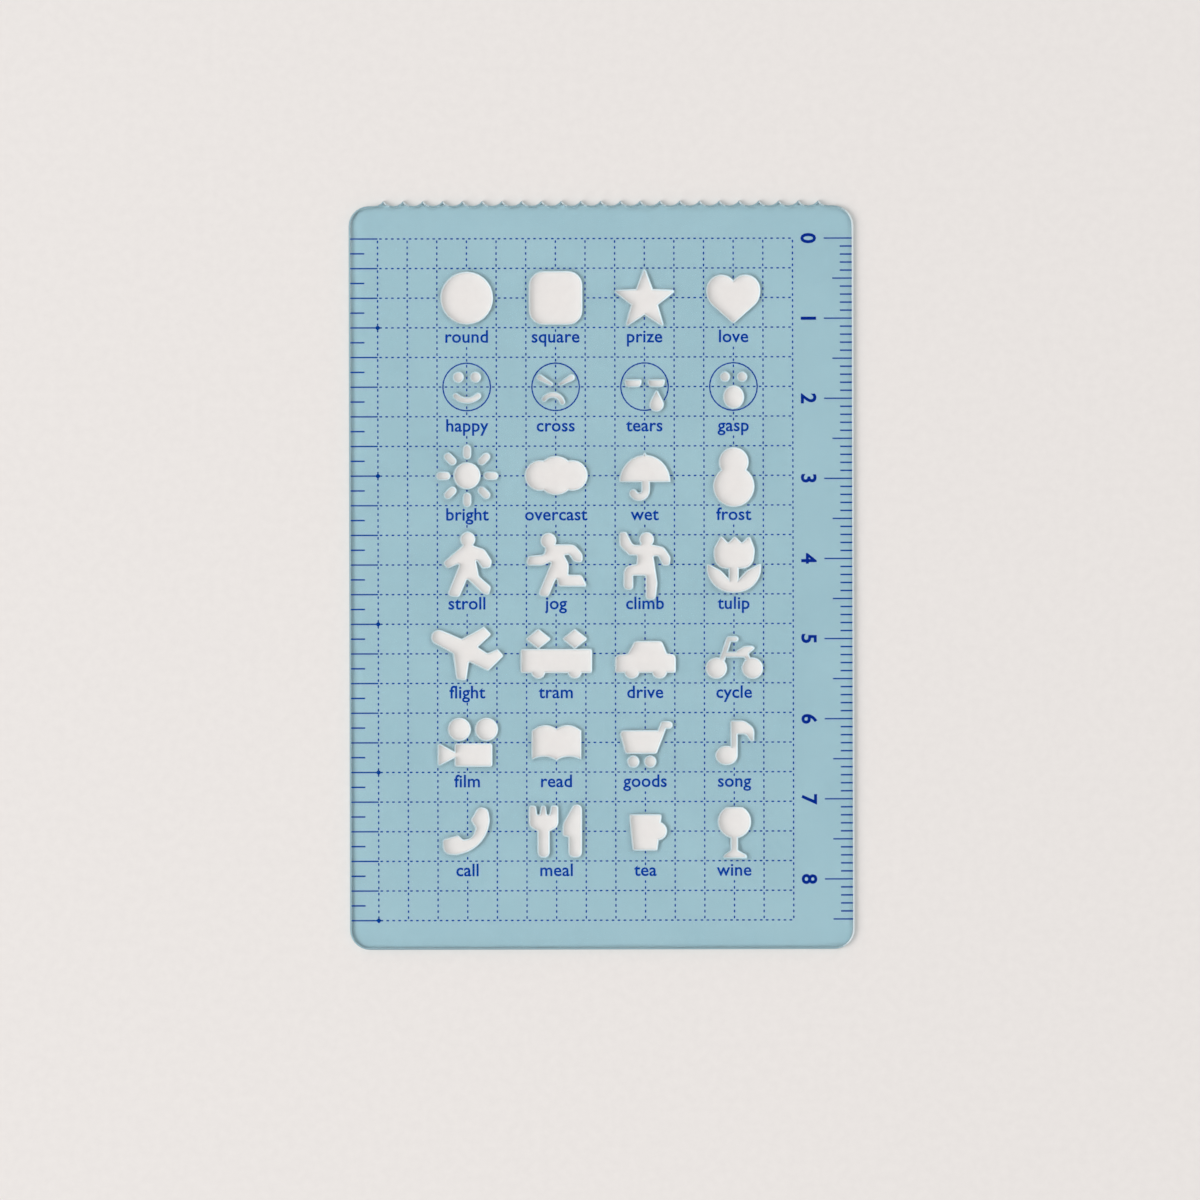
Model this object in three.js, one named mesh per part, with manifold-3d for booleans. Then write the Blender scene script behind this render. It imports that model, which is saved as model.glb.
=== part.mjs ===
// Planner stencil: a thin tinted plastic sheet with twenty-eight figures cut through it,
// a scalloped upper edge, and printed marks that lie on its upper face.
// Millimetres. The sheet lies flat: X runs across it, Y up it, and Z out of the printed face.
import * as THREE from 'three';
import { mergeVertices } from 'three/addons/utils/BufferGeometryUtils.js';
import Module from 'manifold-3d';

// Printed grid, which sets out the figures and the size of the sheet
const GRID_PITCH = 3.7;
const GRID_COLUMNS = 14;
const GRID_ROWS = 23;
const LEFT_MARGIN = 3.6;
const RIGHT_MARGIN = 7.6;
const BOTTOM_MARGIN = 3.65;
const TOP_MARGIN = 4.1;

// Sheet
const SHEET_THICKNESS = 0.8;
const CORNER_RADIUS = 2.5;
const RIM_WIDTH = 0.2;
const RIM_DEPTH = 0.2;
const FLARE_DEPTH = 0.65;
const CHORD_ERROR = 0.02;

// Scallops along the upper edge
const SCALLOP_PITCH = 2.467;
const SCALLOP_RISE = 0.65;

// Figures: one in every third column and row of the grid
const FIGURE_STEP = 3;
const FIRST_FIGURE_COLUMN = 3;
const FIRST_FIGURE_ROW = 2;

// Printed marks
const INK_THICKNESS = 0.03;
const LINE_WIDTH = 0.17;
const RING_RADIUS = 0.803 * GRID_PITCH;
const HALF_CENTIMETRE = 5;
const CENTIMETRE_MARK = 3.7;
const HALF_CENTIMETRE_MARK = 2.65;
const DIAMOND_REACH = 0.36;
const DIAMOND_FIRST_ROW = 3;
const DIAMOND_STEP = 5;

const SHEET_WIDTH = LEFT_MARGIN + GRID_COLUMNS * GRID_PITCH + RIGHT_MARGIN;
const SHEET_LENGTH = BOTTOM_MARGIN + GRID_ROWS * GRID_PITCH + TOP_MARGIN + SCALLOP_RISE;
const SIDE = SHEET_WIDTH / 2;
const FOOT = -SHEET_LENGTH / 2;
const SHOULDER = SHEET_LENGTH / 2 - SCALLOP_RISE;

// The figures are drawn in millimetres on a grid of DRAWN_PITCH, and grow with the real grid.
const DRAWN_PITCH = 3.7;
const FIGURE_SCALE = GRID_PITCH / DRAWN_PITCH;
const DRAWN_RIM = RIM_WIDTH / FIGURE_SCALE;

const QUARTER = Math.PI / 2;
const degrees = THREE.MathUtils.degToRad;
const gridX = (column) => -SIDE + LEFT_MARGIN + column * GRID_PITCH;
const gridY = (row) => SHOULDER - TOP_MARGIN - row * GRID_PITCH;

// Outlines: lists of points, drawn where they meet the upper face of the sheet

function arc(x, y, radius, from, to) {
  const step = 2 * Math.acos(1 - CHORD_ERROR / radius);
  const count = Math.ceil(Math.abs(to - from) / step);
  const points = [];
  for (let k = 0; k <= count; k += 1) {
    const angle = from + ((to - from) * k) / count;
    points.push(new THREE.Vector2(x + radius * Math.cos(angle), y + radius * Math.sin(angle)));
  }
  return points;
}

function disc(x, y, radius) {
  return arc(x, y, radius, 0, 4 * QUARTER).slice(1);
}

// A stretch of an oval, counted as the angles of the circle it is drawn from.
function ovalArc(x, y, radiusX, radiusY, from, to) {
  const place = ({ x: dx, y: dy }) => new THREE.Vector2(x + dx, y + (dy * radiusY) / radiusX);
  return arc(0, 0, radiusX, from, to).map(place);
}

function oval(x, y, radiusX, radiusY) {
  return ovalArc(x, y, radiusX, radiusY, 0, 4 * QUARTER).slice(1);
}

// A straight bar with round ends, which may taper from one end to the other.
function bar(x0, y0, radius0, x1, y1, radius1 = radius0) {
  const axis = Math.atan2(y1 - y0, x1 - x0);
  const side = Math.acos((radius0 - radius1) / Math.hypot(x1 - x0, y1 - y0));
  return [
    ...arc(x1, y1, radius1, axis - side, axis + side),
    ...arc(x0, y0, radius0, axis + side, axis + 4 * QUARTER - side),
  ];
}

// A bar with round ends, bent along an arc.
function bow(x, y, radius, width, from, to) {
  const half = width / 2;
  const end = (angle) => [x + radius * Math.cos(angle), y + radius * Math.sin(angle)];
  return [
    ...arc(x, y, radius + half, from, to),
    ...arc(...end(to), half, to, to + 2 * QUARTER).slice(1),
    ...arc(x, y, radius - half, to, from).slice(1),
    ...arc(...end(from), half, from - 2 * QUARTER, from).slice(1, -1),
  ];
}

// A closed outline through corners [x, y, radius]. A corner that points out of the figure is
// rounded at the upper face by the rim as well, so that the rim has one width all round.
function panel(...corners) {
  const drawn = corners.map(([x, y]) => new THREE.Vector2(x, y));
  const winding = THREE.ShapeUtils.isClockWise(drawn) ? -1 : 1;
  const points = [];
  corners.forEach(([, , given = 0], k) => {
    if (given === 0) {
      points.push(drawn[k]);
      return;
    }
    const back = drawn.at(k - 1).clone().sub(drawn[k]).normalize();
    const ahead = drawn[(k + 1) % drawn.length].clone().sub(drawn[k]).normalize();
    const turn = Math.sign(ahead.cross(back));
    const radius = turn === winding ? given + DRAWN_RIM : given;
    const half = Math.acos(back.dot(ahead)) / 2;
    const centre = back.clone().add(ahead).setLength(radius / Math.sin(half)).add(drawn[k]);
    const from = back.clone().multiplyScalar(radius / Math.tan(half)).add(drawn[k]).sub(centre).angle();
    points.push(...arc(centre.x, centre.y, radius, from, from + turn * 2 * (QUARTER - half)));
  });
  return points;
}

function mirrored(points) {
  return points.map((point) => new THREE.Vector2(-point.x, point.y)).reverse();
}

// Figures: each is a list of outlines, drawn about a crossing of the grid

const circle = () => [disc(0, 0, 3.33)];

function square() {
  const [reach, round] = [3.37, 1.6];
  const corners = [[-1, 1], [-1, -1], [1, -1], [1, 1]];
  return [panel(...corners.map(([x, y]) => [x * reach, y * reach, round]))];
}

function star() {
  const [points, tip, hollow, drop] = [5, 4.4, 1.82, -0.35];
  const corners = [];
  for (let k = 0; k < 2 * points; k += 1) {
    const angle = QUARTER + (k * 2 * QUARTER) / points;
    const reach = k % 2 === 0 ? tip : hollow;
    corners.push([reach * Math.cos(angle), drop + reach * Math.sin(angle), k % 2 === 0 ? 0.05 : 0]);
  }
  return [panel(...corners)];
}

function heart() {
  const shape = new THREE.Shape();
  shape.moveTo(0, 2.2);
  shape.bezierCurveTo(-0.4, 2.65, -0.9, 2.9, -1.5, 2.9);
  shape.bezierCurveTo(-2.6, 2.9, -3.4, 2.0, -3.4, 0.95);
  shape.bezierCurveTo(-3.4, 0.1, -3.15, -0.5, -2.68, -0.95);
  shape.lineTo(-0.3, -3.07);
  shape.quadraticCurveTo(0, -3.33, 0.3, -3.07);
  shape.lineTo(2.68, -0.95);
  shape.bezierCurveTo(3.15, -0.5, 3.4, 0.1, 3.4, 0.95);
  shape.bezierCurveTo(3.4, 2.0, 2.6, 2.9, 1.5, 2.9);
  shape.bezierCurveTo(0.9, 2.9, 0.4, 2.65, 0, 2.2);
  return [shape.getPoints(8).slice(1)];
}

const roundEyes = (radius) => [disc(-1.07, 1.22, radius), disc(1.07, 1.22, radius)];

const smilingFace = () => [...roundEyes(0.75), bow(0, 0.3, 1.99, 0.88, degrees(225), degrees(315))];

function crossFace() {
  const brow = bar(-2, 1.17, 0.46, -0.55, 0.33, 0.3);
  return [brow, mirrored(brow), bow(-0.4, -2.25, 1.27, 0.82, degrees(15), degrees(147))];
}

function cryingFace() {
  const eyelid = panel([-2.66, 0.95, 0.05], [-2.4, -0.1, 0.3], [-0.5, -0.1, 0.3], [-0.26, 0.95, 0.05]);
  const tear = bar(1.5, -0.68, DRAWN_RIM + 0.04, 1.48, -2.22, 0.95);
  return [eyelid, mirrored(eyelid), tear];
}

const surprisedFace = () => [...roundEyes(0.7), oval(0, -1.32, 1.36, 1.5)];

function sun() {
  const [rays, inner, outer, width] = [8, 2.02, 3.95, 1.15];
  const outlines = [disc(0, 0.02, 1.72)];
  for (let k = 0; k < rays; k += 1) {
    const angle = (k * 4 * QUARTER) / rays;
    const [dx, dy] = [Math.cos(angle), Math.sin(angle)];
    const [near, far] = [inner + width / 2, outer - width / 2];
    outlines.push(bar(near * dx, near * dy, width / 2, far * dx, far * dy));
  }
  return outlines;
}

const cloud = () => [disc(-1.97, 0.03, 1.95), disc(0, 0.03, 2.47), disc(2.05, 0.03, 1.95)];

function umbrella() {
  const canopy = ovalArc(0, -0.85, 3.24, 3.47, 0, 2 * QUARTER);
  const tip = bar(0, 2, 0.4, 0, 2.66, DRAWN_RIM + 0.02);
  const shaft = bar(0.1, 1, 0.57, 0.1, -1.9);
  const crook = bow(-0.72, -1.85, 0.82, 1.14, degrees(205), degrees(360));
  return [canopy, tip, shaft, crook];
}

const snowman = () => [disc(0, 1.66, 1.9), disc(0, -1.36, 2.62)];

function walker() {
  const body = panel(
    [-0.4, 3], [-0.6, 2.43, 0.2], [-3.15, 0.27, 0.25], [-2.5, -0.58, 0.2], [-0.98, 0.12, 0.1],
    [-2.66, -3.95, 0.3], [-0.98, -4.1, 0.25], [0, -1.82, 0.1], [1.85, -3.6, 0.2], [2.72, -3.85, 0.1],
    [3.02, -2.75, 0.1], [1.5, -1.4, 0.5], [1.1, 0.62, 0.05], [1.85, -0.5, 0.15], [2.95, -0.4, 0.25],
    [3.12, 0.5, 0.25], [2.2, 1.95, 0.6], [0.8, 2.42, 0.2], [0.55, 3],
  );
  return [disc(0.06, 3.17, 1), body];
}

function runner() {
  const body = panel(
    [-1.3, 3], [-1.5, 1.28, 0.35], [-3.6, 1.15, 0.4], [-3.78, -0.16, 0.2], [-1.7, -0.16, 0.6],
    [-0.62, 0.34, 0.08], [-2.45, -4, 0.3], [-0.95, -4.05, 0.2], [0.05, -1.68, 0.08], [0.25, -2.78, 0.2],
    [3.95, -2.78, 0.05], [3.2, -1.24, 0.3], [1.56, -1.24, 0.1], [1.62, 0.1, 0.8], [1.05, 1.15, 0.08],
    [1.6, 1.2, 0.2], [2.2, 0.32, 0.2], [3.35, 0.18, 0.2], [3.35, 1.3, 0.6], [2.3, 2.56, 0.8],
    [-0.1, 2.56, 0.1], [-0.3, 3],
  );
  return [disc(-0.96, 2.98, 1.04), body];
}

function leaper() {
  const body = panel(
    [-0.3, 3.2], [-0.62, 2.47, 0.2], [-1.5, 2.47, 0.6], [-2.3, 4.12, 0.1], [-3.25, 4.12, 0.15],
    [-3.25, 2.3, 0.9], [-2, 1.12, 0.3], [-1.03, 1.08, 0.1], [-1.08, 0.08, 0.1], [-2.7, -0.15, 0.9],
    [-2.76, -3.22, 0.4], [-1.42, -3.22, 0.3], [-1.45, -1.43, 0.08], [0.02, -1.43, 0.1], [0.02, -4.45, 0.25],
    [1.32, -4.45, 0.3], [1.6, -2.4, 0.8], [1.1, 0.98, 0.08], [1.62, 1.02, 0.2], [2.2, -0.2, 0.1],
    [3.1, -0.2, 0.15], [3.25, 0.9, 0.5], [2.4, 2.2, 0.9], [0.9, 2.5, 0.2], [0.7, 3],
  );
  return [disc(0.2, 3.12, 0.97), body];
}

function tulip() {
  const flower = panel(
    [-1.62, 3.68, 0.05], [-2.6, 1.9, 1.1], [-2.4, -0.58, 1.3], [2.4, -0.58, 1.3], [2.66, 1.9, 1.1],
    [1.98, 3.68, 0.05], [1.0, 2.72, 0.15], [0.12, 3.6, 0.05], [-0.7, 2.72, 0.15],
  );
  const leaves = panel(
    [-3.45, 0.22, 0.03], [-3.45, -3.58, 3], [3.45, -3.58, 3], [3.45, 0.22, 0.03], [1.6, -0.72, 1.5],
    [0, -2.45], [-1.6, -0.72, 1.5],
  );
  return [flower, leaves, panel([-0.68, 0.6], [-0.68, -3.1], [0.64, -3.1], [0.64, 0.6])];
}

function airplane() {
  const body = panel(
    [-3.2, 2.97], [-4.05, 1.2], [-1.82, 0, 0.1], [-1.42, -3.25, 0.15], [-0.12, -3.42, 0.15],
    [0.22, -1.05, 0.1], [2.58, -2.22, 0.05], [4.6, -0.25, 0.05], [3.78, 0.62, 0.05], [2.5, 0.08, 0.3],
    [1.35, 0.83, 0.08], [3.05, 2.4, 0.05], [2.1, 3.42, 0.05], [-0.7, 1.88, 0.1],
  );
  return [disc(-3.6, 2.05, 0.98), body];
}

function tram() {
  const body = panel([-4.5, 0.6, 0.05], [-4.5, -2.46, 0.1], [4.5, -2.46, 0.1], [4.5, 0.6, 0.05]);
  const outlines = [body];
  for (const x of [-2.25, 2.3]) {
    outlines.push(disc(x, -2.25, 0.93));
    outlines.push(panel([x, 3.16, 0.05], [x - 1.7, 1.82, 0.05], [x, 0.5, 0.05], [x + 1.7, 1.82, 0.05]));
  }
  return outlines;
}

function car() {
  const body = panel(
    [-3.8, -0.2, 0.4], [-3.8, -2.46, 0.05], [3.85, -2.46, 0.1], [3.85, -0.1, 0.4], [2.75, 0, 0.1],
    [2.1, 1.57, 0.3], [-1.35, 1.57, 0.3], [-2.2, -0.02, 0.15],
  );
  return [body, disc(-1.68, -2.2, 1.02), disc(1.78, -2.2, 1.02)];
}

function bicycle() {
  const seat = panel(
    [0.1, 0.26, 0.3], [0.1, -0.58], [1.2, -0.58], [1.6, -1.2], [2.4, -1.2], [1.85, -0.1, 0.2],
    [2.78, 0.66, 0.05], [2.24, 0.97, 0.05], [1.25, 0.93, 0.3],
  );
  const fork = bar(-1.5, -0.8, 0.41, -0.66, 1.73);
  const grip = bar(-0.66, 1.77, 0.4, 0.22, 1.77);
  const frame = bar(-1.2, -0.18, 0.4, 1.4, -0.18);
  return [disc(-2.22, -1.87, 1.38), disc(2.28, -1.88, 1.38), fork, grip, frame, seat];
}

function filmCamera() {
  const body = panel([-1.65, -0.06, 0.1], [-1.65, -3.04, 0.1], [3.12, -3.04, 0.1], [3.12, -0.06, 0.1]);
  const lens = panel(
    [-3.77, 0.08, 0.05], [-3.77, -3.08, 0.05], [-1.6, -1.95], [-0.9, -1.95], [-0.9, -1.1], [-1.6, -1.1],
  );
  return [body, lens, disc(-1.03, 1.66, 1.49), disc(2.36, 1.66, 1.49)];
}

function openBook() {
  const shape = new THREE.Shape();
  shape.moveTo(-3.13, 1.5);
  shape.lineTo(-3.13, -2.25);
  shape.quadraticCurveTo(-1.4, -1.3, 0, -2.32);
  shape.quadraticCurveTo(1.4, -1.3, 3.13, -2.25);
  shape.lineTo(3.13, 1.5);
  shape.quadraticCurveTo(1.5, 2.77, 0, 1.75);
  shape.quadraticCurveTo(-1.5, 2.77, -3.13, 1.5);
  return [shape.getPoints(8).slice(1)];
}

function shoppingCart() {
  const basket = panel(
    [-3.35, 1.52, 0.3], [-2.52, -1.46, 0.15], [1.42, -1.46, 0.15], [2.72, 1.9], [2.72, 2.67],
    [1.97, 2.67, 0.15], [1.52, 1.52],
  );
  const handle = bar(2.3, 2.15, 0.52, 2.95, 2.15);
  return [basket, handle, disc(-1.52, -2.42, 0.82), disc(0.6, -2.42, 0.82)];
}

function musicNote() {
  const flag = panel(
    [-0.5, 2.73, 0.05], [-0.5, -1.76], [0.46, -1.76], [0.46, 0.94, 0.08], [1.4, 0.94, 0.6],
    [2.02, 0.04, 0.02], [2.52, 0.05, 0.02], [2.55, 1.75, 0.9], [1.3, 2.73, 1],
  );
  return [flag, oval(-0.98, -1.66, 1.44, 1.26)];
}

function telephone() {
  const handset = panel(
    [0.3, 1.4, 0.05], [0.96, 0.42, 0.3], [0.48, -0.84, 1], [-0.56, -1, 0.2], [-1.2, -0.42, 0.05],
    [-3.2, -0.97, 0.3], [-3.08, -2.86, 0.75], [-1.4, -2.98, 1.5], [2.24, -2.07, 4.4], [2.8, 1.4, 1.6],
    [2.55, 3, 0.6], [1.27, 3.05, 0.4],
  );
  return [handset];
}

function cutlery() {
  const [tineTop, slotFoot] = [3.27, 2.12];
  const fork = panel(
    [-3.5, tineTop, 0.15], [-3.5, 0.55, 0.7], [-2.42, 0, 0.1], [-2.42, -3.32, 0.5], [-0.84, -3.32, 0.5],
    [-0.84, 0, 0.1], [0.25, 0.55, 0.7], [0.25, tineTop, 0.15], [-0.72, tineTop, 0.1],
    [-0.92, slotFoot, 0.1], [-1.18, slotFoot, 0.1], [-1.32, tineTop, 0.08], [-1.98, tineTop, 0.08],
    [-2.14, slotFoot, 0.1], [-2.4, slotFoot, 0.1], [-2.55, tineTop, 0.1],
  );
  const knife = panel(
    [3.2, 3.35, 0.4], [2.1, 3.4, 0.4], [0.75, 1, 1.5], [0.7, -0.6, 0.1], [1.42, -0.78, 0.1],
    [1.42, -3.3, 0.5], [3.2, -3.3, 0.5],
  );
  return [fork, knife];
}

function mug() {
  const body = panel([-2.1, 2.13, 0.05], [-1.64, -2.45, 0.05], [1.5, -2.45, 0.05], [2.07, 2.13, 0.05]);
  return [body, disc(1.52, 0.02, 1.2)];
}

function wineGlass() {
  const lip = degrees(60);
  const bowl = arc(0, 1.17, 2.12, 2 * QUARTER - lip, 4 * QUARTER + lip);
  const foot = panel(
    [-0.52, 0.5], [-0.52, -2.38, 0.2], [-1.45, -2.98, 0.05], [-1.45, -3.46], [1.58, -3.46],
    [1.58, -2.98, 0.05], [0.48, -2.38, 0.2], [0.48, 0.5],
  );
  return [bowl, foot];
}

const FIGURES = [
  [circle, square, star, heart],
  [smilingFace, crossFace, cryingFace, surprisedFace],
  [sun, cloud, umbrella, snowman],
  [walker, runner, leaper, tulip],
  [airplane, tram, car, bicycle],
  [filmCamera, openBook, shoppingCart, musicNote],
  [telephone, cutlery, mug, wineGlass],
];

// Rings round the faces, by the node they are in: [name, where the line starts, where it ends].
// The crying face's ring stops on both sides of the tear.
const RING_ROW = 1;
const RINGS = [
  ['face_ring_smiling', 0, 360],
  ['face_ring_cross', 0, 360],
  ['face_ring_crying', -35, 286],
  ['face_ring_surprised', 0, 360],
];

// Solids

const wasm = await Module();
wasm.setup();

function solid(geometry) {
  geometry.deleteAttribute('normal');
  geometry.deleteAttribute('uv');
  const merged = mergeVertices(geometry);
  const vertProperties = merged.getAttribute('position').array;
  const triVerts = new Uint32Array(merged.index.array);
  return new wasm.Manifold(new wasm.Mesh({ numProp: 3, vertProperties, triVerts }));
}

function geometryOf(body) {
  const { vertProperties, triVerts } = body.getMesh();
  const geometry = new THREE.BufferGeometry();
  geometry.setAttribute('position', new THREE.BufferAttribute(vertProperties, 3));
  geometry.setIndex(new THREE.BufferAttribute(triVerts, 1));
  return geometry;
}

// The upper edge runs from right to left: half a hollow, whole hollows with a crest between
// each two, and half a hollow again.
function scallops() {
  const count = Math.floor((SHEET_WIDTH - 2 * CORNER_RADIUS) / SCALLOP_PITCH);
  const half = SCALLOP_PITCH / 2;
  const radius = (half * half + SCALLOP_RISE * SCALLOP_RISE) / (2 * SCALLOP_RISE);
  const reach = Math.asin(half / radius);
  const points = [];
  for (let k = 0; k <= count; k += 1) {
    const from = 3 * QUARTER + (k === 0 ? 0 : reach);
    const to = 3 * QUARTER - (k === count ? 0 : reach);
    const x = (count / 2 - k) * SCALLOP_PITCH;
    points.push(...arc(x, SHOULDER + radius, radius, from, to).slice(k === 0 ? 0 : 1));
  }
  return points;
}

function sheetOutline() {
  const [x, low, high] = [SIDE - CORNER_RADIUS, FOOT + CORNER_RADIUS, SHOULDER - CORNER_RADIUS];
  return [
    ...arc(x, low, CORNER_RADIUS, -QUARTER, 0),
    ...arc(x, high, CORNER_RADIUS, 0, QUARTER),
    ...scallops(),
    ...arc(-x, high, CORNER_RADIUS, QUARTER, 2 * QUARTER),
    ...arc(-x, low, CORNER_RADIUS, 2 * QUARTER, 3 * QUARTER),
  ];
}

// A block as thick as the sheet, with an end piece above and below it. The block swells by
// the given amount from an outline that lies RIM_WIDTH inside the one given.
function block(outline, endThickness, swell) {
  return solid(new THREE.ExtrudeGeometry(new THREE.Shape(outline), {
    depth: SHEET_THICKNESS,
    bevelThickness: endThickness,
    bevelSize: swell,
    bevelOffset: -RIM_WIDTH,
    bevelSegments: 1,
  }));
}

// A figure's outline goes straight through the sheet RIM_WIDTH inside its line on the upper
// face, and its walls slope out to that line over FLARE_DEPTH.
function cutter(outline, x, y) {
  const centre = new THREE.Vector2(x, y);
  const placed = outline.map((point) => point.clone().multiplyScalar(FIGURE_SCALE).add(centre));
  const through = block(placed, SHEET_THICKNESS, 0);
  const flare = block(placed, FLARE_DEPTH, RIM_WIDTH).translate([0, 0, SHEET_THICKNESS]);
  return through.add(flare);
}

function stencilSheet() {
  const blank = block(sheetOutline(), RIM_DEPTH, RIM_WIDTH).translate([0, 0, -RIM_DEPTH]);
  let sheet = blank.trimByPlane([0, 0, 1], 0);
  FIGURES.forEach((figures, row) => figures.forEach((figure, column) => {
    const x = gridX(FIRST_FIGURE_COLUMN + FIGURE_STEP * column);
    const y = gridY(FIRST_FIGURE_ROW + FIGURE_STEP * row);
    for (const outline of figure()) {
      sheet = sheet.subtract(cutter(outline, x, y));
    }
  }));
  return geometryOf(sheet);
}

function ink(outline, holes = []) {
  const shape = new THREE.Shape(outline);
  shape.holes = holes.map((hole) => new THREE.Path(hole));
  return new THREE.ExtrudeGeometry(shape, { depth: INK_THICKNESS, bevelEnabled: false });
}

function ring(from, to) {
  const [outer, inner] = [RING_RADIUS + LINE_WIDTH / 2, RING_RADIUS - LINE_WIDTH / 2];
  if (to - from === 360) {
    return ink(disc(0, 0, outer), [disc(0, 0, inner)]);
  }
  const [start, end] = [degrees(from), degrees(to)];
  return ink([...arc(0, 0, outer, start, end), ...arc(0, 0, inner, end, start)]);
}

// A mark from the edge of the upper face inwards, drawn along +X from its outer end.
function mark(length) {
  const half = LINE_WIDTH / 2;
  return ink(panel([0, -half], [length, -half], [length, half], [0, half]));
}

// The same mark with a small diamond round its inner end.
function diamondMark(length) {
  const half = LINE_WIDTH / 2;
  const neck = length - DIAMOND_REACH + half;
  return ink(panel(
    [0, -half], [neck, -half], [length, -DIAMOND_REACH], [length + DIAMOND_REACH, 0],
    [length, DIAMOND_REACH], [neck, half], [0, half],
  ));
}

// Assembly

const stencil = new THREE.Group();
const print = new THREE.Group();
print.position.z = SHEET_THICKNESS;
stencil.add(print);

function place(parent, name, geometry, look, x = 0, y = 0, turn = 0) {
  geometry.computeVertexNormals();
  const mesh = new THREE.Mesh(geometry, new THREE.MeshStandardMaterial(look));
  mesh.name = name;
  mesh.position.set(x, y, 0);
  mesh.rotation.z = turn;
  parent.add(mesh);
}

const PLASTIC = { color: 0x98bbc4, roughness: 0.35, metalness: 0, transparent: true, opacity: 0.75 };
const INK = { color: 0x14307f, roughness: 0.6, metalness: 0 };
const EDGE = SIDE - RIM_WIDTH;

place(stencil, 'stencil_sheet', stencilSheet(), PLASTIC);

RINGS.forEach(([name, from, to], column) => {
  const x = gridX(FIRST_FIGURE_COLUMN + FIGURE_STEP * column);
  place(print, name, ring(from, to), INK, x, gridY(FIRST_FIGURE_ROW + FIGURE_STEP * RING_ROW));
});

// Centimetre scale on the right, from the first line of the grid down
const HALF_CENTIMETRES = Math.floor((GRID_ROWS * GRID_PITCH) / HALF_CENTIMETRE);
for (let k = 0; k <= HALF_CENTIMETRES; k += 1) {
  const whole = k % 2 === 0;
  const name = `${whole ? 'centimetre_mark' : 'half_centimetre_mark'}_${Math.floor(k / 2)}`;
  const length = (whole ? CENTIMETRE_MARK : HALF_CENTIMETRE_MARK) - RIM_WIDTH;
  place(print, name, mark(length), INK, EDGE, gridY(0) - k * HALF_CENTIMETRE, 2 * QUARTER);
}

// Row marks on the left, from the edge to the first upright line of the grid
for (let row = 0; row <= GRID_ROWS; row += 1) {
  const length = LEFT_MARGIN - RIM_WIDTH;
  const pointed = row % DIAMOND_STEP === DIAMOND_FIRST_ROW;
  const geometry = pointed ? diamondMark(length) : mark(length);
  place(print, `row_mark_${row}`, geometry, INK, -EDGE, gridY(row));
}

export default stencil;
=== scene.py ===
"""Planner stencil: the tinted sheet, the print on it and a plain studio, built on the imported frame."""

import functools
import logging
import math
from dataclasses import dataclass
from enum import Enum
from typing import ClassVar

import bmesh
import bpy
from mathutils import Matrix, Vector
from mathutils.bvhtree import BVHTree


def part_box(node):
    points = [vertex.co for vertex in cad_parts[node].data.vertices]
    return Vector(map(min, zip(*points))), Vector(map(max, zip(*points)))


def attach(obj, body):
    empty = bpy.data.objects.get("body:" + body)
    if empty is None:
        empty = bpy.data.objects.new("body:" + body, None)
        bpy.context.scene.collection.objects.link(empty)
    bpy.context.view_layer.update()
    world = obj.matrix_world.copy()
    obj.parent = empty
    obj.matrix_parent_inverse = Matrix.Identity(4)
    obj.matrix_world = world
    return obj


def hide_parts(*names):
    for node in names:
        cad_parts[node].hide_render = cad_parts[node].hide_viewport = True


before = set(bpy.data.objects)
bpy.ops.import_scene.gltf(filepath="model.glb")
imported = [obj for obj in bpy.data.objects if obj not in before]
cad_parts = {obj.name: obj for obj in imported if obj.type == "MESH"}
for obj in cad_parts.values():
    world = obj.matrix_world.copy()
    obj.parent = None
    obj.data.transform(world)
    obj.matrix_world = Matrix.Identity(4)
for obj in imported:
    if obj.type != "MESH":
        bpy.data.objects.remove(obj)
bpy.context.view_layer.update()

MM = 0.001
CENTIMETRE = 10 * MM
# Distance under which two corners of a mesh are one.
WELD = 0.0005 * MM
BODY = "root"
SHEET_NODE = "stencil_sheet"
Colour = tuple[float, float, float, float]
Socket = bpy.types.NodeSocket
Room = tuple[Vector, Vector]
log = logging.getLogger("planner_stencil")


class Nodes:
    """A shader tree that is being filled with nodes."""

    def __init__(self, tree: bpy.types.NodeTree) -> None:
        """Takes the tree to fill, and empties it."""
        self.tree = tree
        tree.nodes.clear()

    def add(self, kind: str, inputs: dict | None = None, **settings: object) -> bpy.types.Node:
        """Adds a node.

        Args:
            kind: Blender's name for the type of node.
            inputs: values or sockets, by the name or number of the input that takes them.
            settings: properties of the node itself, set before its inputs.

        Returns:
            The new node.
        """
        node = self.tree.nodes.new(kind)
        for name, value in settings.items():
            setattr(node, name, value)
        for name, value in (inputs or {}).items():
            if isinstance(value, Socket):
                self.tree.links.new(value, node.inputs[name])
            else:
                node.inputs[name].default_value = value
        return node


def new_group(name: str, inputs: dict[str, float], output: str) -> bpy.types.ShaderNodeTree:
    """Makes an empty shader node group that reads a Vector and some numbers and puts out one number.

    Args:
        name: the group's name.
        inputs: the number inputs with their usual values.
        output: the output's name.

    Returns:
        The group, with its sockets and no nodes.
    """
    group = bpy.data.node_groups.new(name, "ShaderNodeTree")
    group.interface.new_socket("Vector", in_out="INPUT", socket_type="NodeSocketVector")
    for label, usual in inputs.items():
        socket = group.interface.new_socket(label, in_out="INPUT", socket_type="NodeSocketFloat")
        socket.default_value = usual
    group.interface.new_socket(output, in_out="OUTPUT", socket_type="NodeSocketFloat")
    return group


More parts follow.
